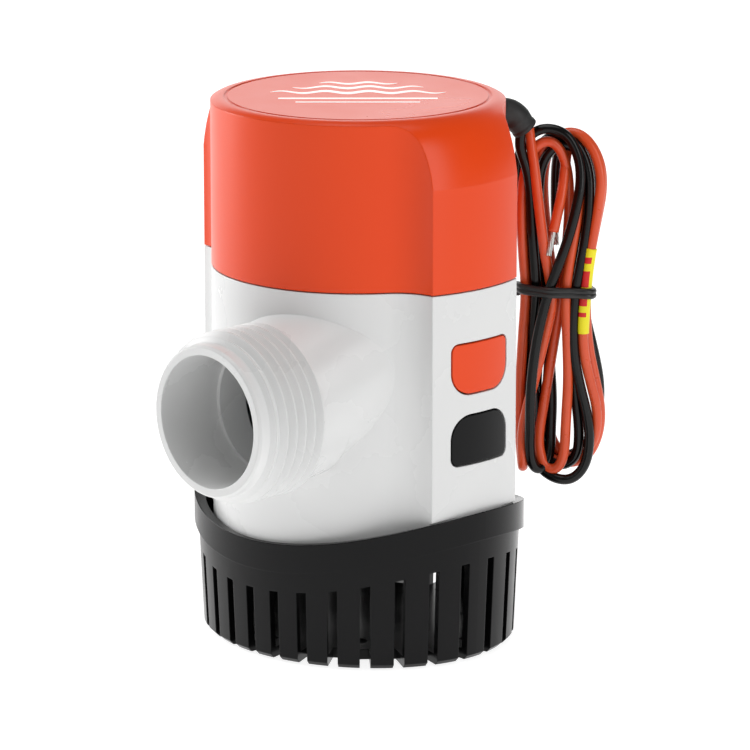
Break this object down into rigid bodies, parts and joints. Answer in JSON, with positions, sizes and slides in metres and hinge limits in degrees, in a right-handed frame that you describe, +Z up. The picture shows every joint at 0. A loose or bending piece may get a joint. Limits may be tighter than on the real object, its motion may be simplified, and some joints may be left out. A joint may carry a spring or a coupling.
{
  "type": "submersible bilge pump",
  "caption": "Upright submersible bilge pump with a winged clip-together housing, side outlet with hose thread, slotted clip-on strainer, and two leads tied in a hank.",
  "frame": {"origin": "on the motor axis, at the underside of the strainer, which is the centre of the mounting holes", "axes": "+Z up along the motor axis; the outlet leaves along -Y; the two latch wings lie along +X and -X"},
  "size_m": [0.082, 0.1099, 0.1249],
  "materials": {
    "white_plastic": "moulded, polished tool",
    "orange_plastic": "moulded, polished tool",
    "black_gloss_plastic": "moulded, polished tool",
    "impeller_plastic": "moulded",
    "grey_plastic": "moulded",
    "black_rubber": "moulded",
    "stainless": "drawn",
    "zinc_plated_steel": "drawn and plated",
    "ferrite": "sintered",
    "sintered_bronze": "sintered",
    "carbon": "pressed",
    "brass": "stamped",
    "lamination_steel": "stacked",
    "copper_wire": "enamelled",
    "copper_bar": "turned",
    "orange_insulation": "extruded",
    "black_insulation": "extruded",
    "tie_plastic": "extruded",
    "yellow_sleeve": "extruded",
    "tinned_copper": "stranded and tinned"
  },
  "bodies": {
    "housing": {"bare_end_black": "tinned_copper", "bare_end_orange": "tinned_copper", "brush_left": "carbon", "brush_right": "carbon", "brush_springs": "stainless", "cap": "orange_plastic", "cartridge_o_ring": "black_rubber", "cartridge_screws": "stainless", "end_bell": "grey_plastic", "hank_tie": "tie_plastic", "inlet_plate": "white_plastic", "lead_black": "black_insulation", "lead_marker": "yellow_sleeve", "lead_orange": "orange_insulation", "lower_bearing": "sintered_bronze", "magnet_left": "ferrite", "magnet_right": "ferrite", "motor_can": "zinc_plated_steel", "motor_cartridge": "grey_plastic", "motor_terminals": "brass", "pump_body": "white_plastic", "shaft_seal": "black_rubber", "strainer_base": "black_gloss_plastic", "upper_bearing": "sintered_bronze", "wire_boot": "black_rubber", "wire_hank": "black_insulation"},
    "rotor": {"shaft": "stainless", "armature_core": "lamination_steel", "armature_windings": "copper_wire", "commutator": "copper_bar", "thrust_washers": "grey_plastic", "impeller": "impeller_plastic", "impeller_clip": "stainless"},
    "cap_latch_right": {"cap_latch_right": "orange_plastic"},
    "cap_latch_left": {"cap_latch_left": "orange_plastic"},
    "strainer_latch_right": {"strainer_latch_right": "black_gloss_plastic"},
    "strainer_latch_left": {"strainer_latch_left": "black_gloss_plastic"}
  },
  "joints": [
    {"name": "rotor_spin", "type": "hinge", "parent": "housing", "child": "rotor", "pos_m": [0, 0, 0.06], "axis": [0, 0, 1], "continuous": true},
    {"name": "cap_latch_right_press", "type": "hinge", "parent": "housing", "child": "cap_latch_right", "pos_m": [0.0351, 0, 0.0895], "axis": [0, 1, 0], "range_deg": [0, 3.6], "stiffness_Nm_per_rad": 0.6},
    {"name": "cap_latch_left_press", "type": "hinge", "parent": "housing", "child": "cap_latch_left", "pos_m": [-0.0351, 0, 0.0895], "axis": [0, -1, 0], "range_deg": [0, 3.6], "stiffness_Nm_per_rad": 0.6},
    {"name": "strainer_latch_right_press", "type": "hinge", "parent": "housing", "child": "strainer_latch_right", "pos_m": [0.0349, 0, 0.025], "axis": [0, -1, 0], "range_deg": [0, 2.9], "stiffness_Nm_per_rad": 0.6},
    {"name": "strainer_latch_left_press", "type": "hinge", "parent": "housing", "child": "strainer_latch_left", "pos_m": [-0.0349, 0, 0.025], "axis": [0, 1, 0], "range_deg": [0, 2.9], "stiffness_Nm_per_rad": 0.6}
  ]
}
